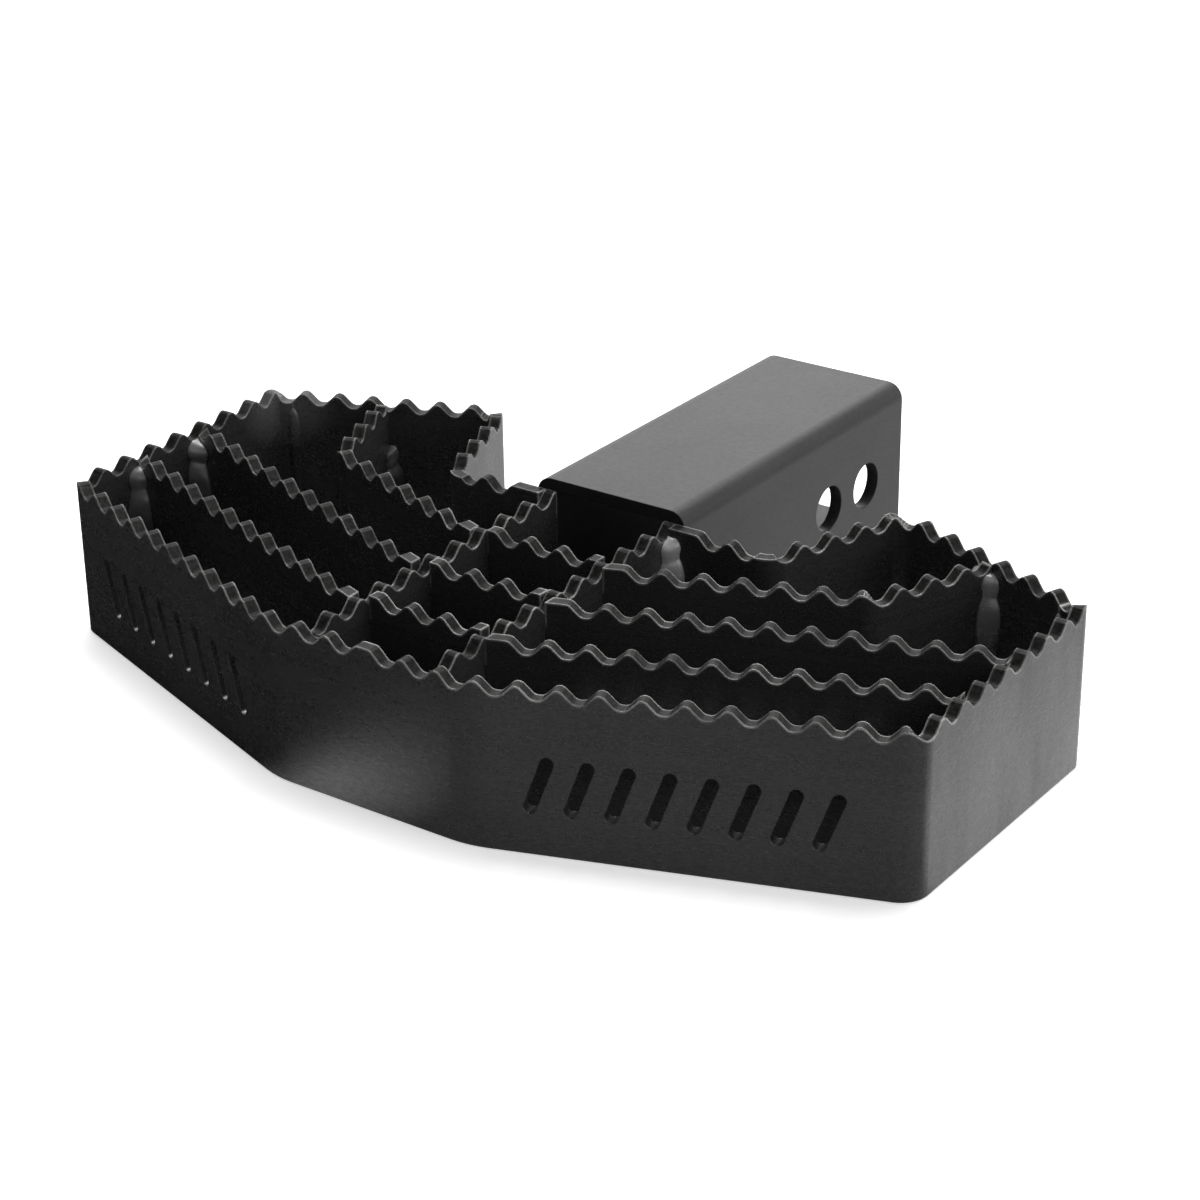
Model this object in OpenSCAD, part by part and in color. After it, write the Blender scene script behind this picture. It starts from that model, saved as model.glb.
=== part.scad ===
// Hitch receiver step: a square receiver tube carrying a welded step of
// toothed steel plates, with +Y towards the vehicle and +Z up.
// Origin: on the ground plane, under the middle of the whole step.

/* [Receiver tube] */
// Outside width and height of the square tube
tube_w = 63.5; // [55:0.5:76]
// Wall of the tube
tube_wall = 4.76; // [3:0.01:6.35]
// Length of the tube
tube_len = 150; // [130:1:190]
// Outside corner radius of the tube
tube_corner_r = 6.2; // [5:0.1:9]
// Diameter of the cross pin holes
pin_hole_d = 18; // [12:0.1:22]
// Centre of the rear pin hole from the open end of the tube
pin_edge = 26; // [18:0.5:40]
// Distance between the two pin holes
pin_pitch = 27; // [24:0.5:45]
// Height of the pin holes above the bottom of the tube
pin_z = 30.5; // [25:0.5:38]

/* [Step plates] */
// Thickness of every plate
plate_t = 4.76; // [3:0.01:6.35]
// Height of the plates at the tips of the teeth
plate_h = 59; // [45:0.5:63]
// Overall width of the step
step_w = 353.6; // [320:1:400]
// Distance from the tube to the front face of the nose
reach = 137; // [125:1:170]
// Width of the flat nose between its two bends
nose_w = 80.8; // [72:0.5:96]
// How far the outer front corners lie behind the nose
sweep = 48.2; // [25:0.5:60]
// Length of the end plates, corner to corner
end_len = 110.6; // [100:0.5:125]
// Distance between the two rear corners beside the tube
rear_w = 173.6; // [160:1:190]
// How far the rear corners lie behind the front of the tube
rear_y = 56.4; // [45:0.5:70]
// Distance between the two legs at the front of the tube
leg_w = 133.6; // [110:1:140]
// Where the butt seam lies, from the rear outer corner
seam_at = 10; // [10:0.5:20]

/* [Bends] */
// Outside radius of the two bends of the nose
nose_r = 43; // [15:1:60]
// Outside radius of the corner bends
bend_r = 10.4; // [7:0.1:14]
// Outside radius of the rear outer corners
rear_r = 6.8; // [6.5:0.1:12]
// Radius of the bend at the foot of each leg, on its rear face
foot_r = 5; // [2:0.5:9]

/* [Slats] */
// Distance between the middles of the two spines
spine_gap = 51.4; // [46:0.1:56]
// Front face of the nose to the front face of the first wing slat
slat_first = 29.8; // [24:0.1:36]
// Distance from one wing slat to the next
slat_pitch = 30.75; // [26:0.05:33]
// Bend of the rear wing slat, out from the middle of the step
return_x = 115.8; // [100:0.5:125]
// Angle of the return leg of the rear wing slat, from straight back
return_angle = 21.4; // [5:0.1:28]
// Tube to the rear face of the rear centre slat
rung_first = 36.3; // [30:0.1:40]
// Distance from one centre slat to the next
rung_pitch = 32.15; // [28:0.05:35]

/* [Teeth] */
// Distance from tooth to tooth along a flat plate
tooth_pitch = 13.6; // [11:0.1:18]
// Depth of the teeth
tooth_depth = 4.2; // [2:0.1:5]
// Flat at the tip of a tooth, before rounding
tip_flat = 2.2; // [1:0.1:3]
// Rounding of the tips
tip_r = 1.6; // [0.3:0.1:2]
// Rounding of the valleys
valley_r = 2.4; // [0.5:0.1:3]
// Half the wide tooth in the middle of the nose
nose_tooth = 2.1; // [1.5:0.1:5]
// First tooth of a wing slat, from the spine
slat_tooth = 7.1; // [4:0.1:10]
// First tooth of a spine, from the tube
spine_tooth = 0.3; // [0:0.1:5]
// Tooth at the rear outer corner, past the corner along the back plate
corner_tooth = 0.7; // [0:0.1:3]
// How far the tooth at the bend of each foot lies below the others
foot_drop = 2.3; // [0:0.1:3.5]
// Distance from the outer to the next tooth of a centre slat
centre_pitch = 13.7; // [12:0.1:15]

/* [Wing slots] */
// Number of slanted slots in each front wing
slot_count = 8; // [4:1:9]
// Width of a slot
slot_w = 4.6; // [3:0.1:6]
// Height of the straight part of a slot
slot_h = 17; // [10:0.5:24]
// Lean of the slots
slot_lean = 20; // [0:1:30]
// Distance from slot to slot
slot_pitch = 13.3; // [11:0.1:14]
// Height of the middle of the slots
slot_z = 25; // [20:0.5:30]
// First slot from the bend of the nose
slot_start = 24; // [16:0.5:30]

/* [Welds] */
// Leg of the corner welds
weld_leg = 6; // [3:0.1:7]
// Leg of the welds in the sharp corners of the end plates
end_weld_leg = 10; // [4:0.1:12]
// How much lower those welds end on the right than on the left
end_weld_drop = 20; // [0:1:35]
// Bottom of the weld beads above the ground plane
weld_z0 = 5; // [2:0.5:12]
// Top of the weld beads below the tips of the teeth
weld_top = 6; // [5.5:0.5:16]
// Width of the bead along each butt seam
seam_bead_w = 5; // [4:0.1:9]
// Height of the bead along each butt seam
seam_bead_h = 1.3; // [0.8:0.1:2]

/* [Hidden] */

$fn = 96;
// Corners of the outer face in plan, with the front end of the tube on Y = 0
half_w = step_w / 2;
nose_corner = [nose_w / 2, -reach];
front_corner = [half_w, -reach + sweep];
rear_corner = [half_w, -reach + sweep + end_len];
leg_top = [rear_w / 2, rear_y];
leg_foot = [leg_w / 2, 0];
spine_out = (spine_gap + plate_t) / 2;
spine_in = (spine_gap - plate_t) / 2;
mid_y = (tube_len - reach) / 2;
wing_dir = unit(front_corner - nose_corner);
wing_angle = atan2(wing_dir[1], wing_dir[0]);
wing_normal = [-wing_dir[1], wing_dir[0]];
back_dir = unit(leg_top - rear_corner);
back_normal = [-back_dir[1], back_dir[0]];
return_dir = [sin(return_angle), cos(return_angle)];
// Point just behind the bend of each rear corner, where the bands meet
seam = rear_corner + seam_at * back_dir;
weld_h = plate_h - weld_top - weld_z0;
// Longer than anything in plan
far = 2 * (step_w + reach + tube_len);
// Reach of a tooth cutter past each face of its plate, and above the tips
cut_over = 4;
cut_above = 1;
// Longest step of a tooth cutter round a bend, and the radius up to which a
// bend is tight enough to need one
bend_step = 1.2;
tight_r = 14.5;
// Added to the radii of the bends, so that they cross the straights cleanly
bite = 0.01;
// Steps of the roundings of the tips and the valleys
tip_steps = 1;
valley_steps = 2;
// Half the angle by which the flanks of the teeth lean
half_flank = 22.5;
// Least flat between the roundings of a valley
valley_flat = 0.35;
// Least inside corner radius of the tube
least_corner = 0.5;
// Teeth of a centre slat
centre_teeth = 4;
steel = [0.13, 0.13, 0.14];
bead = [0.2, 0.2, 0.21];

function unit(v) = v / norm(v);
function heading(v) = atan2(v[1], v[0]);
function left_of(v) = [-v[1], v[0]];
// Turn from one heading to the next, -180 to 180, positive to the left
function turn(a, b) = let (d = b - a) d > 180 ? d - 360 : d <= -180 ? d + 360 : d;
// Where the line through p along d meets the line through q along e
function meet(p, d, q, e) = p + d * ((q - p) * left_of(e)) / (d * left_of(e));

// A bent plate follows a list of corners with its outer face, and lies on the
// left of it. Each corner is [point, radius on that face].
function pt(path, i) = path[i][0];
function head_of(path, i) = heading(pt(path, i + 1) - pt(path, i));
function turn_at(path, i) = i == 0 || i == len(path) - 1 ? 0 : turn(head_of(path, i - 1), head_of(path, i));
function tangent_at(path, i) = path[i][1] * tan(abs(turn_at(path, i)) / 2);
// Length of the middle layer of the plate in a straight and in a bend
function straight_len(path, i) =
    norm(pt(path, i + 1) - pt(path, i)) - tangent_at(path, i) - tangent_at(path, i + 1);
function mid_r(path, i) = path[i][1] - sign(turn_at(path, i)) * plate_t / 2;
function bend_len(path, i) = mid_r(path, i) * abs(turn_at(path, i)) * PI / 180;
// Developed length up to the start of straight i
function straight_start(path, i) =
    i == 0 ? 0 : straight_start(path, i - 1) + straight_len(path, i - 1) + bend_len(path, i);
function whole_len(path) = straight_start(path, len(path) - 2) + straight_len(path, len(path) - 2);
// Centre of bend i
function bend_centre(path, i) =
    let (a = head_of(path, i - 1), s = sign(turn_at(path, i)))
    pt(path, i) - tangent_at(path, i) * [cos(a), sin(a)] + s * path[i][1] * [-sin(a), cos(a)];
// Place on the middle layer at developed length s, as [x, y, heading]
function place(path, s, i = 0) =
    let (over = s - straight_start(path, i) - straight_len(path, i), a = head_of(path, i))
    over <= 0 || i == len(path) - 2
    ? let (p = pt(path, i) + (tangent_at(path, i) + s - straight_start(path, i)) * [cos(a), sin(a)]
               + plate_t / 2 * [-sin(a), cos(a)]) [p[0], p[1], a]
    : over < bend_len(path, i + 1)
    ? let (b = a + turn_at(path, i + 1) * over / bend_len(path, i + 1), s1 = sign(turn_at(path, i + 1)),
           p = bend_centre(path, i + 1) + s1 * mid_r(path, i + 1) * [sin(b), -cos(b)]) [p[0], p[1], b]
    : place(path, s, i + 1);

// Teeth from a to b or just past it
function march(a, b) = [for (k = [0:ceil((b - a) / tooth_pitch)]) a + k * tooth_pitch];

// Bottom of the gap between two teeth that are w apart, as [along, height] from tip to tip
function corner_arc(c, r, a0, a1, steps) =
    [for (k = [0:steps]) let (a = a0 + (a1 - a0) * k / steps) c + r * [cos(a), sin(a)]];
function gap_line(w) =
    let (top = (w - tip_flat) / 2, depth = min(tooth_depth, top - valley_flat), floor_half = top - depth,
         lean = tan(half_flank), flank = 2 * half_flank,
         rv = min(valley_r, (floor_half + valley_flat) / lean),
         rt = min(tip_r, tip_flat / 2 / lean),
         tip = corner_arc([-top - rt * lean, -rt], rt, 90, 90 - flank, tip_steps),
         valley = corner_arc([-floor_half + rv * lean, rv - depth], rv, 270 - flank, 270, valley_steps),
         side = concat(tip, valley))
    concat(side, [for (k = [len(side) - 1:-1:0]) [-side[k][0], side[k][1]]]);
// The same line with steps short enough to go round a bend
function in_steps(line) =
    [for (k = [0:len(line) - 2])
         let (n = ceil((line[k + 1][0] - line[k][0]) / bend_step))
         each n < 1 ? [] : [for (j = [0:n - 1]) line[k] + (line[k + 1] - line[k]) * j / n],
     line[len(line) - 1]];
// Whether a tight bend lies between developed lengths s0 and s1
function on_bend(path, s0, s1) =
    len([for (i = [1:1:len(path) - 2])
        if (path[i][1] < tight_r && s0 < straight_start(path, i)
            && s1 > straight_start(path, i) - bend_len(path, i)) i]) > 0;
// Least inside radius of the bends of a path
function least_r(path) =
    min([for (i = [1:1:len(path) - 2]) min(path[i][1], path[i][1] - sign(turn_at(path, i)) * plate_t)]);

// From the origin out to a distance, between two angles
module kite(out, a0, a1) {
    polygon([[0, 0], for (a = [a0, (a0 + a1) / 2, a1]) out * [cos(a), sin(a)]]);
}

// Sector of a disc between two angles
module sector(centre, r, a0, a1) {
    translate(centre) intersection() {
        circle(r);
        kite(2 * r, a0, a1);
    }
}

// Points of one face of a bent plate at corner i, off mm to the left of the
// path: one on the outside of the bend, two on its inside
function face_points(path, i, off) =
    let (a = head_of(path, max(0, i - 1)), b = head_of(path, min(i, len(path) - 2)),
         da = [cos(a), sin(a)], db = [cos(b), sin(b)],
         s = sign(turn_at(path, i)), back = tangent_at(path, i),
         pa = pt(path, i) + off * left_of(da), pb = pt(path, i) + off * left_of(db))
    s == 0 ? [pa] : (s > 0) == (off > 0) ? [pa - back * da, pb + back * db] : [meet(pa, da, pb, db)];

// Plan of a bent plate: a strip with sharp outer corners, then its roundings
module plate_plan(path) {
    last = len(path) - 1;
    difference() {
        polygon(concat([for (i = [0:last]) each face_points(path, i, 0)],
                       [for (i = [last:-1:0])
                           let (f = face_points(path, i, plate_t)) each len(f) > 1 ? [f[1], f[0]] : f]));
        for (i = [1:1:last - 1]) {
            s = sign(turn_at(path, i));
            r_in = min(path[i][1], path[i][1] - s * plate_t) + bite;
            r_out = r_in + plate_t;
            a0 = head_of(path, i - 1) - s * 90;
            a1 = a0 + turn_at(path, i);
            translate(bend_centre(path, i)) {
                circle(r_in);
                difference() {
                    kite(3 * r_out, a0, a1);
                    circle(r_out);
                }
            }
        }
    }
}

// A gap between two teeth on a straight, cut square through the plate
module straight_gap(path, s0, s1) {
    p = place(path, (s0 + s1) / 2);
    line = gap_line(s1 - s0);
    last = line[len(line) - 1];
    translate([p[0], p[1], plate_h]) rotate([90, 0, p[2]])
        linear_extrude(plate_t + 2 * cut_over, center = true)
            polygon(concat([[line[0][0], cut_above]], line, [[last[0], cut_above]]));
}

// The same gap where the plate bends: it was cut before bending, so its
// bottom follows the developed length and lies square to the plate
module bent_gap(path, s0, s1) {
    line = in_steps(gap_line(s1 - s0));
    n = len(line);
    off = plate_t / 2 + min(cut_over, least_r(path) / 2);
    stations = [for (q = line) let (p = place(path, (s0 + s1) / 2 + q[0]), side = [-sin(p[2]), cos(p[2])])
                [[p[0], p[1]] - off * side, [p[0], p[1]] + off * side, plate_h + q[1]]];
    top = plate_h + cut_above;
    points = [for (q = stations) each [[q[0][0], q[0][1], q[2]], [q[1][0], q[1][1], q[2]],
                                       [q[1][0], q[1][1], top], [q[0][0], q[0][1], top]]];
    ends = [[0, 1, 2, 3], [4 * n - 1, 4 * n - 2, 4 * n - 3, 4 * n - 4]];
    between = [for (k = [0:n - 2], j = [0:3])
                   let (a = 4 * k + j, b = 4 * k + (j + 1) % 4) each [[b + 4, b, a], [a + 4, b + 4, a]]];
    polyhedron(points, concat(ends, between));
}

// A bent plate with teeth at the given developed lengths; two teeth closer
// than half the pitch are one wide tooth
module toothed_plate(path, teeth) {
    difference() {
        linear_extrude(plate_h) plate_plan(path);
        for (k = [0:len(teeth) - 2])
            if (teeth[k + 1] - teeth[k] > tooth_pitch / 2) {
                if (on_bend(path, teeth[k], teeth[k + 1])) bent_gap(path, teeth[k], teeth[k + 1]);
                else straight_gap(path, teeth[k], teeth[k + 1]);
            }
    }
}

module in_frame() {
    translate([0, -mid_y, 0]) children();
}

module left_copy() {
    mirror([1, 0, 0]) children();
}

// Square tube with rounded corners, open at both ends
module rounded_square(w, r) {
    square([w, w - 2 * r], center = true);
    square([w - 2 * r, w], center = true);
    for (x = [-1, 1], y = [-1, 1]) translate([x * (w / 2 - r), y * (w / 2 - r)]) circle(r);
}

module receiver_tube() {
    color(steel) in_frame() difference() {
        translate([0, tube_len, tube_w / 2]) rotate([90, 0, 0]) linear_extrude(tube_len) difference() {
            rounded_square(tube_w, tube_corner_r);
            rounded_square(tube_w - 2 * tube_wall, max(tube_corner_r - tube_wall, least_corner));
        }
        for (y = [tube_len - pin_edge, tube_len - pin_edge - pin_pitch])
            translate([0, y, pin_z]) rotate([0, 90, 0])
                cylinder(d = pin_hole_d, h = tube_w + 2 * cut_over, center = true);
    }
}

// Front band: nose, both wings and end plates, and the bends of the rear corners
function mirrored(p) = [-p[0], p[1]];
band_half = [[nose_corner, nose_r], [front_corner, bend_r], [rear_corner, rear_r], [seam, 0]];
band_path = concat([for (k = [3:-1:0]) [mirrored(band_half[k][0]), band_half[k][1]]], band_half);
band_centre = whole_len(band_path) / 2;
// The teeth march from the nose to the rear corner, where the last gap runs on into the rear band
band_corner = band_centre - seam_at + corner_tooth;
band_count = round((band_corner - nose_tooth) / tooth_pitch);
band_half_teeth = concat([for (k = [0:band_count - 1]) nose_tooth + k * tooth_pitch],
                         [band_corner, band_corner + tooth_pitch]);
band_teeth = concat([for (k = [len(band_half_teeth) - 1:-1:0]) band_centre - band_half_teeth[k]],
                    [for (s = band_half_teeth) band_centre + s]);

// Slanted slots through one front wing
module wing_slots() {
    translate([nose_corner[0], nose_corner[1], slot_z]) rotate([90, 0, wing_angle])
        linear_extrude(2 * (plate_t + cut_over), center = true)
            for (k = [0:slot_count - 1]) translate([slot_start + k * slot_pitch, 0]) rotate(-slot_lean) {
                square([slot_w, slot_h], center = true);
                for (end = [-1, 1]) translate([0, end * slot_h / 2]) circle(d = slot_w);
            }
}

module front_band() {
    color(steel) in_frame() difference() {
        toothed_plate(band_path, band_teeth);
        wing_slots();
        left_copy() wing_slots();
    }
}

// Rear band: back plate, leg along the tube and foot across the front of the tube
rear_path = [[seam, 0], [leg_top, bend_r], [leg_foot, foot_r], [[spine_out, 0], 0]];
// The last tooth stands beside the tube, and the rest of the foot is plain
rear_first = corner_tooth - seam_at;
rear_toothed = whole_len(rear_path) - (tube_w / 2 - spine_out) - rear_first;
rear_teeth = [for (k = [0:floor(rear_toothed / tooth_pitch)]) rear_first + k * tooth_pitch];
foot_bend = straight_start(rear_path, 2) - bend_len(rear_path, 2) / 2;
foot_tooth = rear_first + round((foot_bend - rear_first) / tooth_pitch) * tooth_pitch;

module right_rear_band_shape() {
    p = place(rear_path, foot_tooth);
    difference() {
        toothed_plate(rear_path, rear_teeth);
        translate([p[0], p[1], plate_h - foot_drop]) cylinder(d = tooth_pitch, h = foot_drop + cut_above);
    }
}

module right_rear_band() {
    color(steel) in_frame() right_rear_band_shape();
}

module left_rear_band() {
    color(steel) in_frame() left_copy() right_rear_band_shape();
}

// Spines between the tube and the nose
spine_len = reach - plate_t;
spine_teeth = march(spine_tooth, spine_len);

module right_spine_shape() {
    toothed_plate([[[spine_in, 0], 0], [[spine_in, -spine_len], 0]], spine_teeth);
}

module right_spine() {
    color(steel) in_frame() right_spine_shape();
}

module left_spine() {
    color(steel) in_frame() left_copy() right_spine_shape();
}

// Centre slats between the spines, counted from the tube
module centre_slat(n) {
    y = -rung_first - n * rung_pitch - plate_t;
    first = spine_in - (centre_teeth - 1) / 2 * centre_pitch;
    teeth = [for (k = [0:centre_teeth - 1]) first + k * centre_pitch];
    color(steel) in_frame() toothed_plate([[[-spine_in, y], 0], [[spine_in, y], 0]], teeth);
}

module front_centre_slat() {
    centre_slat(2);
}

module middle_centre_slat() {
    centre_slat(1);
}

module rear_centre_slat() {
    centre_slat(0);
}

// Wing slats run parallel to the wing, from the spine to the end plate
function slat_face(n) = slat_first + n * slat_pitch;
function slat_point(n) = nose_corner + slat_face(n) * wing_normal;
function slat_inner(n) = meet(slat_point(n), wing_dir, [spine_out, 0], [0, 1]);
function slat_outer(n) = meet(slat_point(n), wing_dir, [half_w - plate_t, 0], [0, 1]);

// Everything between the spine and the end plate, in plan
module wing_space() {
    translate([spine_out, -reach, -cut_above])
        cube([half_w - plate_t - spine_out, far, plate_h + 2 * cut_above]);
}

// How far a slat runs on past its faces, to be trimmed by its neighbours
trim = 3 * plate_t;

module straight_slat(n) {
    inner = slat_inner(n) - trim * wing_dir;
    outer = slat_outer(n) + trim * wing_dir;
    intersection() {
        toothed_plate([[inner, 0], [outer, 0]], march(trim + slat_tooth, norm(outer - inner)));
        wing_space();
    }
}

// The rear wing slat turns back and ends on the back plate
return_corner = meet(slat_point(2), wing_dir, [return_x, 0], [0, 1]);
return_end = meet(return_corner, return_dir, rear_corner + plate_t * back_normal, back_dir)
    + trim * return_dir;

module rear_slat_shape() {
    inner = slat_inner(2) - trim * wing_dir;
    path = [[inner, 0], [return_corner, bend_r], [return_end, 0]];
    intersection() {
        toothed_plate(path, march(trim + slat_tooth, whole_len(path)));
        wing_space();
        translate([0, 0, -cut_above]) linear_extrude(plate_h + 2 * cut_above)
            translate(rear_corner + plate_t * back_normal) rotate(heading(back_dir))
                translate([-far / 2, 0]) square([far, far]);
    }
}

module right_front_slat() {
    color(steel) in_frame() straight_slat(0);
}

module left_front_slat() {
    color(steel) in_frame() left_copy() straight_slat(0);
}

module right_middle_slat() {
    color(steel) in_frame() straight_slat(1);
}

module left_middle_slat() {
    color(steel) in_frame() left_copy() straight_slat(1);
}

module right_rear_slat() {
    color(steel) in_frame() rear_slat_shape();
}

module left_rear_slat() {
    color(steel) in_frame() left_copy() rear_slat_shape();
}

// A vertical weld bead in the corner between two faces, from one heading to another
module corner_weld(corner, a0, a1, leg = weld_leg, drop = 0) {
    translate([0, 0, weld_z0]) linear_extrude(weld_h - drop) sector(corner, leg, a0, a1);
}

// A flat bead on the inner face, over the butt seam of the two bands
module seam_bead_shape() {
    r = (seam_bead_w * seam_bead_w / 4 + seam_bead_h * seam_bead_h) / (2 * seam_bead_h);
    translate([0, 0, weld_z0]) linear_extrude(weld_h)
        translate(seam + plate_t * back_normal) rotate(heading(back_dir)) intersection() {
            translate([0, seam_bead_h - r]) circle(r);
            translate([-seam_bead_w, 0]) square([2 * seam_bead_w, 2 * seam_bead_h]);
        }
}

module right_seam_welds() {
    color(bead) in_frame() seam_bead_shape();
}

module left_seam_welds() {
    color(bead) in_frame() left_copy() seam_bead_shape();
}

// Both sides of the return leg, on the back plate
module return_beads() {
    outboard = meet(return_corner, return_dir, rear_corner + plate_t * back_normal, back_dir);
    inboard = meet(return_corner + plate_t * left_of(return_dir), return_dir,
                   rear_corner + plate_t * back_normal, back_dir);
    leg_back = heading(-return_dir);
    corner_weld(outboard, leg_back, heading(-back_dir) + (heading(-back_dir) < leg_back ? 360 : 0));
    corner_weld(inboard, heading(back_dir), leg_back + 360);
}

module right_return_welds() {
    color(bead) in_frame() return_beads();
}

module left_return_welds() {
    color(bead) in_frame() left_copy() return_beads();
}

// Front side of the front and middle wing slats, on the end plate
module end_beads(drop) {
    for (n = [0, 1]) corner_weld(slat_outer(n), 180 + wing_angle, 270, end_weld_leg, drop);
}

module right_end_welds() {
    color(bead) in_frame() end_beads(end_weld_drop);
}

module left_end_welds() {
    color(bead) in_frame() left_copy() end_beads(0);
}

// Between the spine and the front of the foot, and between the spine and the nose
module spine_beads() {
    corner_weld([spine_out, -plate_t], 270, 360);
    corner_weld([spine_in, -spine_len], 90, 180);
}

module right_spine_welds() {
    color(bead) in_frame() spine_beads();
}

module left_spine_welds() {
    color(bead) in_frame() left_copy() spine_beads();
}

// Between the sides of the tube and the rear faces of the feet
module tube_welds() {
    color(bead) in_frame() {
        corner_weld([tube_w / 2, 0], 0, 90);
        left_copy() corner_weld([tube_w / 2, 0], 0, 90);
    }
}

receiver_tube();
front_band();
left_rear_band();
right_rear_band();
left_spine();
right_spine();
front_centre_slat();
middle_centre_slat();
rear_centre_slat();
left_front_slat();
right_front_slat();
left_middle_slat();
right_middle_slat();
left_rear_slat();
right_rear_slat();
left_seam_welds();
right_seam_welds();
left_return_welds();
right_return_welds();
left_end_welds();
right_end_welds();
left_spine_welds();
right_spine_welds();
tube_welds();
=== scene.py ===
import math

import bmesh
import bpy
from mathutils import Matrix, Quaternion, Vector, noise


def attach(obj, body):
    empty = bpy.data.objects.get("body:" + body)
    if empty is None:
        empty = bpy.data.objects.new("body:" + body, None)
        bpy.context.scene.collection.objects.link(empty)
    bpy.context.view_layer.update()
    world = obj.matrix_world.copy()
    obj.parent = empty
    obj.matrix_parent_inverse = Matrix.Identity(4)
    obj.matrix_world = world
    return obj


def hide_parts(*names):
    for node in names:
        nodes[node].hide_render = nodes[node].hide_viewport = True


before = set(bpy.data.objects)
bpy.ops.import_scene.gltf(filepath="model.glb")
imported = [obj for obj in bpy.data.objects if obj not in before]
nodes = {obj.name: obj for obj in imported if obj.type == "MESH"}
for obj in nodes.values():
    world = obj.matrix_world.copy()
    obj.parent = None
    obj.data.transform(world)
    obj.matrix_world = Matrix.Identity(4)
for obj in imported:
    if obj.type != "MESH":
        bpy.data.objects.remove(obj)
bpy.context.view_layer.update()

# Lengths are in metres, but for the lens, and places are in the row frame

scene = bpy.context.scene

WHITE = (1, 1, 1, 1)


# Camera of the photo

CAM_PLACE = Vector((0.546359, -0.772204, 0.466409))
# Turn from the row frame to the camera, as an axis with the angle for its length
CAM_TURN = Vector((1.941307703, 0.611448470, -0.404403929))
# Focal length and sensor width, in millimetres
CAM_LENS = 87.132
CAM_SENSOR = 36


def make_camera():
    data = bpy.data.cameras.new("camera")
    data.sensor_width = CAM_SENSOR
    data.lens = CAM_LENS
    data.clip_start = 0.05
    data.clip_end = 50
    camera = bpy.data.objects.new("camera", data)
    scene.collection.objects.link(camera)
    world_to_cam = Quaternion(CAM_TURN.normalized(), CAM_TURN.length).to_matrix()
    turn = world_to_cam.transposed() @ Matrix.Diagonal((1, -1, -1))
    camera.matrix_world = Matrix.Translation(CAM_PLACE) @ turn.to_4x4()
    scene.camera = camera


# Materials

# Colours of the cut faces on the teeth, and how much rougher and duller they are than the plate
CUT_DARK = 0.004
CUT_LIGHT = 0.018
CUT_ROUGHER = 0.12
CUT_DULLER = 0.90
# Lean at which a face counts as cut, and height at which it does
CUT_LEAN = (0.3, 0.5)
CUT_HEIGHT = (0.049, 0.051)
# Warm tints of the cut faces and of the painted highlight line
CUT_TINT = (1.04, 1.0, 0.95)
HIGHLIGHT_LINE_TINT = (1.02, 1.0, 0.97)

# Colour, reach and added shine of the painted highlight line along the edges of the teeth
EDGE_HIGHLIGHT_TONE = 0.38
EDGE_REACH = 0.0017
EDGE_HIGHLIGHT_SHINE = 0.7
# How far the rounded normal leans from the true one at the two sides of the line, as a cosine
EDGE_LEAN = (0.93, 0.86)
# The painted highlight line fades between these two places in X, to this share on the left
EDGE_HIGHLIGHT_FADE = (-0.10, 0.0)
EDGE_HIGHLIGHT_LEFT = 0.5

# Place, radius and colour of the painted highlight on the bend in the left rear corner
SHEEN_SPOT = (-0.167, 0.012, 0.058)
SHEEN_SIZE = 0.022
SHEEN_TONE = 0.16

# Stretch and depth of the upright smears, and how far to the right a face looks that has them
SMEAR_STRETCH = (45, 45, 12)
SMEAR_DEPTH = 0.34
SMEAR_SIDE = (0.85, 0.95)

# Colours of the beads whose tops get a still paler painted highlight; they have the same coat as the other
# beads
LIT_BEADS = {"right_spine_welds": 0.38, "right_return_welds": 0.20}
# Heights over which a bead's painted top light comes in, and places in Y in front of which it gets none and
# stays dark and low
LIT_TOP_HEIGHT = (0.026, 0.052)
NOSE_BEADS = (-0.110, -0.090)

BEVEL_SAMPLES = 6
BUMP_DISTANCE = 0.0004

# Scales of the noises, per metre: clouds, peel, coarse peel and wear
CLOUD_SCALE = 26
FINE_SCALE = 700
COARSE_SCALE = 320
WEAR_SCALE = 60
# Scales along X, Y and Z: faint streaks, brushed grain and grain of the cut faces
STREAK_STRETCH = (14, 14, 420)
BRUSH_STRETCH = (420, 420, 1700)
GRAIN_STRETCH = (700, 700, 500)
# How far clouds and streaks change the colour, and the peel and streaks the roughness
TONE_CHANGE = 0.18
ROUGH_CHANGE = 0.03
STREAK_ROUGHER = 0.05


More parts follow.
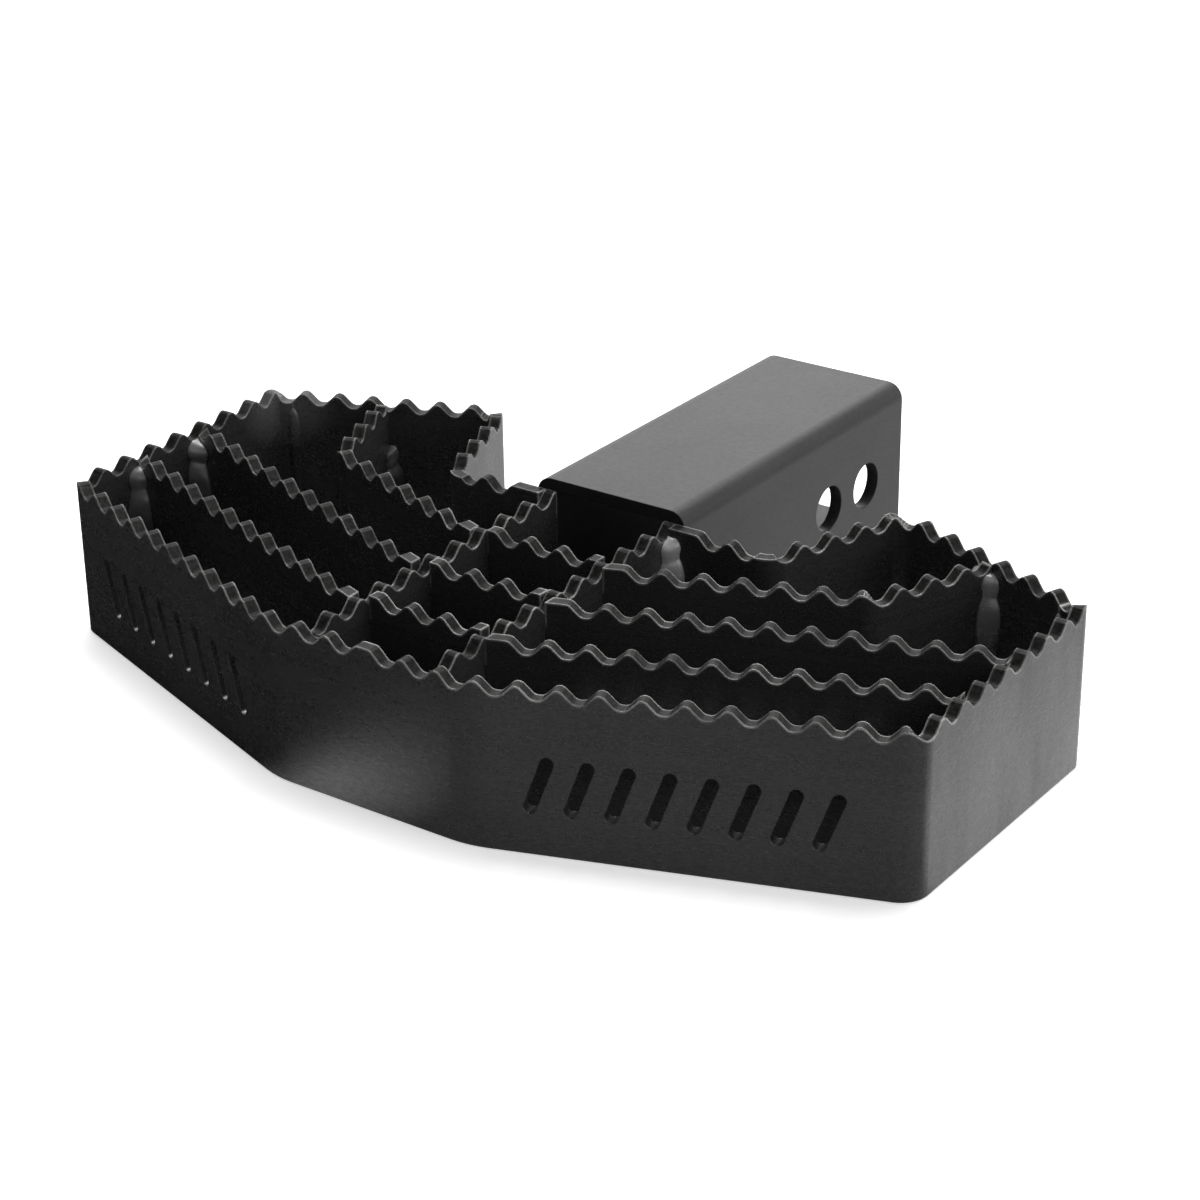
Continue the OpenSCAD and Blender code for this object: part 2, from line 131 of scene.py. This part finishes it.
class Graph:
    """Short names for making and joining shader nodes."""

    def __init__(self, tree):
        self.tree = tree
        tree.nodes.clear()

    def add(self, kind, **settings):
        node = self.tree.nodes.new(kind)
        for name, value in settings.items():
            setattr(node, name, value)
        return node

    def join(self, a, b):
        self.tree.links.new(a, b)

    def math(self, operation, a, b=None):
        node = self.add("ShaderNodeMath", operation=operation)
        for i, value in enumerate((a, b)):
            if value is None:
                continue
            if isinstance(value, (int, float)):
                node.inputs[i].default_value = value
            else:
                self.join(value, node.inputs[i])
        return node.outputs[0]

    def plus(self, a, b):
        return self.math("ADD", a, b)

    def times(self, a, b):
        return self.math("MULTIPLY", a, b)

    def noise(self, vector, scale, detail=2.0, roughness=0.5):
        node = self.add("ShaderNodeTexNoise")
        node.inputs["Scale"].default_value = scale
        node.inputs["Detail"].default_value = detail
        node.inputs["Roughness"].default_value = roughness
        self.join(vector, node.inputs["Vector"])
        return node.outputs["Fac"]

    def long_noise(self, vector, scale, detail, roughness=0.6):
        """Noise with its own scale along each axis."""
        node = self.add("ShaderNodeMapping")
        node.inputs["Scale"].default_value = scale
        self.join(vector, node.inputs["Vector"])
        return self.noise(node.outputs["Vector"], 1, detail, roughness)

    def ramp(self, value, low, high, to_low=0.0, to_high=1.0):
        node = self.add("ShaderNodeMapRange", clamp=True)
        self.join(value, node.inputs["Value"])
        node.inputs["From Min"].default_value = low
        node.inputs["From Max"].default_value = high
        node.inputs["To Min"].default_value = to_low
        node.inputs["To Max"].default_value = to_high
        return node.outputs["Result"]

    def mix_color(self, factor, a, b):
        node = self.add("ShaderNodeMix", data_type="RGBA")
        self.join(factor, node.inputs["Factor"])
        for socket, value in ((node.inputs[6], a), (node.inputs[7], b)):
            if isinstance(value, tuple):
                socket.default_value = value
            else:
                self.join(value, socket)
        return node.outputs[2]

    def split(self, vector):
        node = self.add("ShaderNodeSeparateXYZ")
        self.join(vector, node.inputs[0])
        return node.outputs

    def compare(self, operation, a, b):
        """Dot product or distance of a vector socket and another one or three numbers."""
        node = self.add("ShaderNodeVectorMath", operation=operation)
        self.join(a, node.inputs[0])
        if isinstance(b, tuple):
            node.inputs[1].default_value = b
        else:
            self.join(b, node.inputs[1])
        return node.outputs["Value"]

    def bevel(self, radius):
        node = self.add("ShaderNodeBevel", samples=BEVEL_SAMPLES)
        node.inputs["Radius"].default_value = radius
        return node.outputs[0]

    def emission(self, strength):
        node = self.add("ShaderNodeEmission")
        node.inputs["Color"].default_value = WHITE
        self.join(strength, node.inputs["Strength"])
        return node.outputs[0]


def grey(value, tint=(1.0, 1.0, 1.03)):
    return (value * tint[0], value * tint[1], value * tint[2], 1.0)


def dress_teeth(g, place, true_normal, cloud, color, roughness, shine):
    """Paler cut faces, smears, a painted highlight in the left rear corner and painted highlight lines along
    the edges of the toothed plates.
    """
    faces = g.split(true_normal)
    spot = g.split(place)
    high = g.ramp(spot["Z"], *CUT_HEIGHT)
    cut = g.times(g.ramp(faces["Z"], *CUT_LEAN), high)
    grain = g.ramp(g.long_noise(place, GRAIN_STRETCH, 4, 0.65), 0.38, 0.66)
    pale = g.mix_color(grain, grey(CUT_DARK, CUT_TINT), grey(CUT_LIGHT, CUT_TINT))
    color = g.mix_color(cut, color, pale)
    roughness = g.plus(roughness, g.times(cut, CUT_ROUGHER))
    shine = g.times(g.math("SUBTRACT", 1.0, g.times(cut, CUT_DULLER)), shine)

    # Soft upright smears on the faces that look to the right
    sideways = g.ramp(faces["X"], *SMEAR_SIDE)
    smear = g.ramp(g.long_noise(place, SMEAR_STRETCH, 4), 0.32, 0.68, -SMEAR_DEPTH, SMEAR_DEPTH)
    shine = g.times(shine, g.plus(g.times(sideways, smear), 1.0))

    # A painted highlight on the bend in the left rear corner, broken up by the clouds
    corner_sheen = g.ramp(g.compare("DISTANCE", place, SHEEN_SPOT), SHEEN_SIZE, 0.0)
    corner_sheen = g.times(corner_sheen, g.ramp(cloud, 0.3, 0.7, 0.5, 1.0))
    color = g.mix_color(corner_sheen, color, grey(SHEEN_TONE))

    # A thin brighter line along the edges of the teeth: a painted highlight, with added shine
    lean = g.compare("DOT_PRODUCT", g.bevel(EDGE_REACH), true_normal)
    patchy = g.ramp(g.noise(place, WEAR_SCALE, 3, 0.6), 0.36, 0.62, 0.25, 1.0)
    edge_highlight = g.times(g.times(g.ramp(lean, *EDGE_LEAN), high), patchy)
    edge_highlight = g.times(edge_highlight, g.ramp(spot["X"], *EDGE_HIGHLIGHT_FADE, EDGE_HIGHLIGHT_LEFT, 1.0))
    color = g.mix_color(edge_highlight, color, grey(EDGE_HIGHLIGHT_TONE, HIGHLIGHT_LINE_TINT))
    shine = g.plus(shine, g.times(edge_highlight, EDGE_HIGHLIGHT_SHINE))
    return color, roughness, shine


def powder_coat(name, base, rough, peel, bevel, specular, teeth=False, grain=0.2, specks=0.10, low_tone=None):
    """Black powder coat: fine peel, a brushed grain, faint streaks and rounded edges.

    base is its colour (on a bead, a paler colour painted as light from above), peel and bevel the strength of
    its bumps and the radius of its edges, grain and specks the share of the brushed grain in bumps and sheen,
    low_tone the colour at a bead's foot, below its painted top light.
    """
    material = bpy.data.materials.new(name)
    material.use_nodes = True
    g = Graph(material.node_tree)
    out = g.add("ShaderNodeOutputMaterial")
    shader = g.add("ShaderNodeBsdfPrincipled")
    g.join(shader.outputs[0], out.inputs[0])
    place = g.add("ShaderNodeTexCoord").outputs["Object"]
    geometry = g.add("ShaderNodeNewGeometry")

    cloud = g.noise(place, CLOUD_SCALE, 3)
    fine = g.noise(place, FINE_SCALE, 3, 0.6)
    streak = g.long_noise(place, STREAK_STRETCH, 4)
    brushed = g.long_noise(place, BRUSH_STRETCH, 3)

    # Colour; on a bead, painted light from above makes it paler higher up and leaves it darker towards its
    # foot
    tone = g.ramp(g.plus(g.times(cloud, 0.6), g.times(streak, 0.4)), 0.35, 0.65)
    color = g.mix_color(tone, grey(base * (1 - TONE_CHANGE)), grey(base * (1 + TONE_CHANGE)))
    if low_tone:
        spot = g.split(geometry.outputs["Position"])
        pale = g.times(g.ramp(spot["Z"], *LIT_TOP_HEIGHT), g.ramp(spot["Y"], *NOSE_BEADS))
        color = g.mix_color(pale, grey(low_tone), color)

    # Roughness
    patchy = g.times(g.ramp(streak, 0.4, 0.7), STREAK_ROUGHER)
    roughness = g.plus(g.ramp(fine, 0.3, 0.7, rough - ROUGH_CHANGE, rough + ROUGH_CHANGE), patchy)

    # Rounded edges, then the fine peel on top of them
    bump = g.add("ShaderNodeBump")
    bump.inputs["Strength"].default_value = peel
    bump.inputs["Distance"].default_value = BUMP_DISTANCE
    height = g.plus(g.times(fine, 0.3), g.times(g.noise(place, COARSE_SCALE, 2), 0.5))
    height = g.plus(height, g.times(brushed, grain))
    g.join(height, bump.inputs["Height"])
    g.join(g.bevel(bevel), bump.inputs["Normal"])

    shine = g.times(g.ramp(brushed, 0.36, 0.64, 1 - specks, 1 + specks), specular)
    if teeth:
        true_normal = geometry.outputs["True Normal"]
        color, roughness, shine = dress_teeth(g, place, true_normal, cloud, color, roughness, shine)

    g.join(color, shader.inputs["Base Color"])
    g.join(roughness, shader.inputs["Roughness"])
    g.join(bump.outputs[0], shader.inputs["Normal"])
    g.join(shine, shader.inputs["Specular IOR Level"])
    return material


coats = {
    "plate_coat": powder_coat("plate_coat", 0.025, 0.27, 0.27, 0.0006, 0.95, teeth=True,
                              grain=0.6, specks=0.20),
    "tube_coat": powder_coat("tube_coat", 0.021, 0.36, 0.08, 0.0006, 0.34),
    # The weld coat's pale base is painted light on the beads' tops; low_tone keeps their feet dark
    "weld_coat": powder_coat("weld_coat", 0.13, 0.30, 0.10, 0.0004, 0.9, low_tone=0.015),
}
lit_coats = {node: powder_coat(node + "_coat", base, 0.24, 0.10, 0.0004, 1.0, low_tone=0.02)
             for node, base in LIT_BEADS.items()}


def coat_of(node):
    if node == "receiver_tube":
        return "tube_coat"
    return "weld_coat" if node.endswith("welds") and "seam" not in node else "plate_coat"


for name, piece in nodes.items():
    for place in piece.material_slots:
        place.material = coats[coat_of(name)]


# Weld beads: lumpy beads with round tops, in the place of the plain ones

# Distance between the rings of a bead, and steps round each ring
BEAD_STEP = 0.0005
BEAD_ROUND = 14
# How far a bead reaches into the plates beside it
BEAD_SINK = 0.0003
# How far each bead rises above the plain one
BEAD_RISE = {"right_spine_welds": 0.0030, "left_end_welds": 0.002, "right_return_welds": 0.002,
             "left_return_welds": -0.012}
# Width of a bead as a share of the plain one
BEAD_WIDTH = {"right_spine_welds": 1.25, "left_end_welds": 0.8, "right_end_welds": 0.8}
# A bead is a cap over a long blob over the rest: half height, depth of the middle below the top, width
CAP_HALF = 0.0042
CAP_DEPTH = 0.0042
CAP_WIDTH = 0.74
CAP_VARIES = 0.2
BLOB_HALF = 0.0132
BLOB_DEPTH = 0.0185
BLOB_WIDTH = 0.94
REST_DROP = 0.007
REST_WIDTH = 0.72
# How sharply they meet, and the least share of the leg at the ends
BLEND = 3.2
LEAST_SHAPE = 0.03
# How much one side of a bead may be higher than the other
BEAD_TILT = 0.004
# Fullness and hollow of a bead's face, and depth and pitch (per metre) of its quick and slow lumps
FULLNESS = 0.98
HOLLOW = 0.13
QUICK_DEPTH = 0.05
QUICK_PITCH = 240
SLOW_DEPTH = 0.16
SLOW_PITCH = 110
# Height of the round ends of a seam bead, and its lumps
SEAM_CAP = 0.010
SEAM_DEPTH = 0.05
SEAM_PITCH = 300
# Points this near to a height or to each other count as one
SAME_HEIGHT = 0.00001
SAME_POINT = 0.000005


def corners_of(node):
    """Corner, leg, first and last heading, bottom and top of each plain bead of a node."""
    piece = nodes[node]
    mesh = bmesh.new()
    mesh.from_mesh(piece.data)
    bmesh.ops.remove_doubles(mesh, verts=mesh.verts, dist=SAME_POINT)
    left = set(mesh.verts)
    found = []
    while left:
        group = [left.pop()]
        for vert in group:
            for edge_highlight in vert.link_edges:
                other = edge_highlight.other_vert(vert)
                if other in left:
                    left.remove(other)
                    group.append(other)
        points = [piece.matrix_world @ v.co for v in group]
        low = min(q.z for q in points)
        high = max(q.z for q in points)
        plan = [Vector((q.x, q.y)) for q in points if q.z - low < SAME_HEIGHT]

        def spread(c):
            away = [(q - c).length for q in plan if q != c]
            return max(away) - min(away)

        apex = min(plan, key=spread)
        arc = [q - apex for q in plan if q != apex]
        middle = sum(arc, Vector((0, 0)))
        turns = [-middle.angle_signed(q) for q in arc]
        heading = math.atan2(middle.y, middle.x)
        found.append((apex, arc[0].length, heading + min(turns), heading + max(turns), low, high))
    mesh.free()
    found.sort(key=lambda f: (round(f[0].x, 5), round(f[0].y, 5)))
    return found


def skin(mesh, rings):
    """Faces round a stack of rings of vertices, and over both ends."""
    for before, ring in zip(rings, rings[1:]):
        count = len(ring)
        for j in range(count):
            n = (j + 1) % count
            mesh.faces.new((before[j], before[n], ring[n], ring[j]))
    mesh.faces.new(list(reversed(rings[0])))
    mesh.faces.new(rings[-1])


def blob(z, middle, half, width):
    inside = 1 - ((z - middle) / half) ** 2
    return width * math.sqrt(inside) if inside > 0 else 0.0


def bead_shape(z, low, high, tilt):
    """Share of the leg that a bead has at a height."""
    cap = blob(z, high - CAP_DEPTH, CAP_HALF, CAP_WIDTH + CAP_VARIES * tilt)
    body = blob(z, high - BLOB_DEPTH, BLOB_HALF, BLOB_WIDTH)
    rest = blob(z, (low + high) / 2 - REST_DROP, (high - low) / 2 - REST_DROP, REST_WIDTH)
    return max((cap ** BLEND + body ** BLEND + rest ** BLEND) ** (1 / BLEND), LEAST_SHAPE)


def bead_mesh(mesh, corner, leg, start, end, low, high, seed):
    count = max(6, round((high - low) / BEAD_STEP))
    shift = Vector((seed * 3.7, seed * 1.3, 0))
    middle = (start + end) / 2
    centre = corner - BEAD_SINK * Vector((math.cos(middle), math.sin(middle)))
    tilt = noise.noise(shift)
    rings = []
    for k in range(count + 1):
        z = low + (high - low) * k / count
        ring = [mesh.verts.new((centre.x, centre.y, z))]
        for j in range(BEAD_ROUND + 1):
            part = j / BEAD_ROUND
            turn = start + (end - start) * part
            shape = bead_shape(z + BEAD_TILT * tilt * (part - 0.5), low, high, tilt)
            belly = math.sin(math.pi * part)
            quick = noise.noise(Vector((turn * 1.4, 0, z * QUICK_PITCH)) + shift)
            slow = noise.noise(Vector((turn * 0.8, 7, z * SLOW_PITCH)) + shift)
            full = FULLNESS - HOLLOW * belly + QUICK_DEPTH * quick + SLOW_DEPTH * slow
            reach = leg * shape * full + BEAD_SINK
            spot = centre + reach * Vector((math.cos(turn), math.sin(turn)))
            ring.append(mesh.verts.new((spot.x, spot.y, z)))
        rings.append(ring)
    skin(mesh, rings)


def seam_mesh(mesh, node):
    """The flat bead over a butt seam, with a round top and a round foot."""
    piece = nodes[node]
    points = [piece.matrix_world @ v.co for v in piece.data.vertices]
    low = min(q.z for q in points)
    high = max(q.z for q in points)
    plan = sorted({(round(q.x, 6), round(q.y, 6)) for q in points if q.z - low < SAME_HEIGHT})
    flat = [Vector(q) for q in plan]
    ends = max(((a, b) for a in flat for b in flat), key=lambda pair: (pair[0] - pair[1]).length)
    middle = (ends[0] + ends[1]) / 2
    inner = sum(flat, Vector((0, 0))) / len(flat)
    hull = sorted(flat, key=lambda q: math.atan2(q.y - inner.y, q.x - inner.x))
    count = round((high - low) / BEAD_STEP)
    rings = []
    for k in range(count + 1):
        z = low + (high - low) * k / count
        part = min(1.0, min(high - z, z - low) / SEAM_CAP)
        size = max(0.05, math.sqrt(1 - (1 - part) ** 2))
        size *= 1 + SEAM_DEPTH * noise.noise(Vector((3, 5, z * SEAM_PITCH)))
        rings.append([mesh.verts.new((*(middle + (q - middle) * size), z)) for q in hull])
    skin(mesh, rings)


def make_beads(node):
    mesh = bmesh.new()
    if "seam" in node:
        seam_mesh(mesh, node)
    else:
        for k, (corner, leg, start, end, low, high) in enumerate(corners_of(node)):
            at_nose = corner.y < NOSE_BEADS[0]
            width = 1.0 if at_nose else BEAD_WIDTH.get(node, 1.0)
            rise = 0.0 if at_nose else BEAD_RISE.get(node, 0.0)
            bead_mesh(mesh, corner, leg * width, start, end, low, high + rise, len(node) + 5 * k)
    data = bpy.data.meshes.new(node + "_beads")
    bmesh.ops.recalc_face_normals(mesh, faces=mesh.faces)
    mesh.to_mesh(data)
    mesh.free()
    data.polygons.foreach_set("use_smooth", [True] * len(data.polygons))
    piece = bpy.data.objects.new(node + "_beads", data)
    scene.collection.objects.link(piece)
    data.materials.append(lit_coats.get(node, coats[coat_of(node)]))
    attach(piece, "root")
    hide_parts(node)


for name in sorted(nodes):
    if name.endswith("welds"):
        make_beads(name)


# Lamps

def softbox(name, place, width, height, power, shine=1.0):
    """A rectangular lamp aimed at the middle of the object."""
    data = bpy.data.lights.new(name, "AREA")
    data.shape = "RECTANGLE"
    data.size = width
    data.size_y = height
    data.energy = power
    data.specular_factor = shine
    lamp = bpy.data.objects.new(name, data)
    scene.collection.objects.link(lamp)
    lamp.location = place
    lamp.rotation_mode = "QUATERNION"
    lamp.rotation_quaternion = (CENTRE - Vector(place)).to_track_quat("-Z", "Y")


CENTRE = Vector((0.0, 0.0, 0.03))
softbox("over", (-0.2, 0.5, 1.7), 1.6, 1.2, 38, 0.25)
softbox("back_left", (-1.6, 2.1, 1.25), 3.0, 1.6, 16)
softbox("right_side", (2.2, 0.1, 0.9), 1.4, 0.9, 7)
softbox("front_fill", (1.2, -2.0, 1.2), 1.4, 0.8, 1.5)


# World: white to the camera, brighter at the right and the rear for all other rays

BRIGHT_SIDE = (0.5, 0.8, 0.0)
# How far a ray points to that side, and the level it finds there: shiny rays, then all others
SHINY_SIDE = (-0.5, 0.25, 0.08, 1.0)
PLAIN_SIDE = (-0.6, 0.3, 0.04, 0.85)
# Shiny rays find it darker overhead
SHINY_HEIGHT = (0.48, 0.80, 1.0, 0.22)


def studio_rays(g):
    rays = g.add("ShaderNodeLightPath")
    shiny = g.math("MAXIMUM", rays.outputs["Is Glossy Ray"], rays.outputs["Is Transmission Ray"])
    return rays.outputs["Is Camera Ray"], shiny


def make_world():
    world = bpy.data.worlds.new("world")
    scene.world = world
    world.use_nodes = True
    g = Graph(world.node_tree)
    out = g.add("ShaderNodeOutputWorld")
    around = g.add("ShaderNodeBackground")
    around.inputs["Color"].default_value = WHITE
    camera_ray, shiny_ray = studio_rays(g)
    direction = g.add("ShaderNodeTexCoord").outputs["Generated"]
    side = g.compare("DOT_PRODUCT", direction, BRIGHT_SIDE)

    mirrored = g.ramp(side, *SHINY_SIDE)
    mirrored = g.times(mirrored, g.ramp(g.split(direction)["Z"], *SHINY_HEIGHT))
    spread = g.ramp(side, *PLAIN_SIDE)
    plain_ray = g.math("SUBTRACT", 1.0, g.math("MAXIMUM", camera_ray, shiny_ray))
    level = g.plus(camera_ray, g.times(shiny_ray, mirrored))
    g.join(g.plus(level, g.times(plain_ray, spread)), around.inputs["Strength"])
    g.join(around.outputs[0], out.inputs[0])


make_world()


# Floor: pale, white to the camera where it is lit, with the object's shadow

FLOOR_SIZE = 12
FLOOR_HEIGHT = -0.0004
FLOOR_COLOR = (0.8, 0.8, 0.8, 1)
FLOOR_GLOW = 0.5
# What shiny faces see of the floor, a painted reflection: it brightens from DARK_X to LIGHT_X at the front
DARK_X = -0.060
LIGHT_X = 0.065
DARK_LEVEL = 0.02
FRONT_LEVEL = 0.22
# Its lighter part lies behind a line (x share, y share, start) from the right bend, and beside the tube
BACK_LEVEL = 1.27
BEND_LINE = (-0.43, 0.90, 0.1605)
LINE_BLUR = 0.012
SIDE_X = (0.166, 0.176)
TUBE_Y = (0.010, 0.040)
TUBE_LEVEL = 0.80
REAR_Y = (-0.10, 0.03)
REAR_LEVEL = 0.60
# The lighter part fades to the right
FADE_X = (0.19, 0.27)
FADE_LEVEL = 0.34
# A painted glint on the floor in front of the nose, seen in its reflection, cut off at the left bend
GLINT_SPOT = (-0.022, -0.154, 0.0)
GLINT_SIZE = 0.042
GLINT_LEVEL = 1.0
GLINT_X = (-0.055, -0.032)
# Outline of the step on the floor, which lies in its shadow, here a painted shadow in what shiny faces see:
# nose, then slope; back, then step
SHADE = 0.30
SHADE_X = 0.1745
SHADE_NOSE = (0.040, -0.1435, 0.352)
SHADE_BACK = (0.070, -0.007, 0.030)


def under_step(g, x, y):
    """1 on the floor inside the outline of the step, 0 elsewhere."""
    out_x = g.math("ABSOLUTE", x)
    nose_x, nose_y, slope = SHADE_NOSE
    past_nose = g.math("MAXIMUM", g.math("SUBTRACT", out_x, nose_x), 0.0)
    front_edge = g.plus(g.times(past_nose, slope), nose_y)
    back_x, back_y, step = SHADE_BACK
    back_edge = g.plus(g.times(g.math("GREATER_THAN", out_x, back_x), step), back_y)
    between = g.times(g.math("GREATER_THAN", y, front_edge), g.math("LESS_THAN", y, back_edge))
    return g.times(g.math("LESS_THAN", out_x, SHADE_X), between)


def mirrored_floor(g):
    """Level of the floor as shiny faces see it: a painted reflection that glows, with painted light, a
    painted glint and a painted shadow.
    """
    position = g.add("ShaderNodeNewGeometry").outputs["Position"]
    spot = g.split(position)
    x, y = spot["X"], spot["Y"]
    front = g.ramp(x, DARK_X, LIGHT_X, DARK_LEVEL, FRONT_LEVEL)

    along_x, along_y, start = BEND_LINE
    line = g.plus(g.times(x, along_x), g.plus(g.times(y, along_y), start))
    beside = g.times(g.ramp(line, 0.0, LINE_BLUR), g.ramp(x, *SIDE_X))
    beside = g.times(beside, g.ramp(y, *REAR_Y, REAR_LEVEL, 1.0))
    beside = g.math("MAXIMUM", beside, g.ramp(y, *TUBE_Y, 0.0, TUBE_LEVEL))
    back = g.times(g.times(beside, BACK_LEVEL - FRONT_LEVEL), g.ramp(x, *FADE_X, 1.0, FADE_LEVEL))

    away = g.compare("DISTANCE", position, GLINT_SPOT)
    glint = g.times(g.ramp(away, GLINT_SIZE, 0.0, 0.0, GLINT_LEVEL), g.ramp(x, *GLINT_X))
    open_floor = g.math("SUBTRACT", 1.0, g.times(under_step(g, x, y), 1 - SHADE))
    return g.times(g.plus(g.plus(front, glint), back), open_floor)


def make_floor():
    bpy.ops.mesh.primitive_plane_add(size=FLOOR_SIZE, location=(0, 0, FLOOR_HEIGHT))
    floor = bpy.context.object
    floor.name = "floor"
    material = bpy.data.materials.new("floor")
    material.use_nodes = True
    g = Graph(material.node_tree)
    out = g.add("ShaderNodeOutputMaterial")
    diffuse = g.add("ShaderNodeBsdfDiffuse")
    diffuse.inputs["Color"].default_value = FLOOR_COLOR
    camera_ray, shiny_ray = studio_rays(g)
    both = g.add("ShaderNodeAddShader")
    g.join(diffuse.outputs[0], both.inputs[0])
    g.join(g.emission(g.times(camera_ray, FLOOR_GLOW)), both.inputs[1])
    mixed = g.add("ShaderNodeMixShader")
    g.join(shiny_ray, mixed.inputs[0])
    g.join(both.outputs[0], mixed.inputs[1])
    g.join(g.emission(mirrored_floor(g)), mixed.inputs[2])
    g.join(mixed.outputs[0], out.inputs[0])
    floor.data.materials.append(material)


make_floor()
make_camera()

scene.view_settings.view_transform = "Standard"
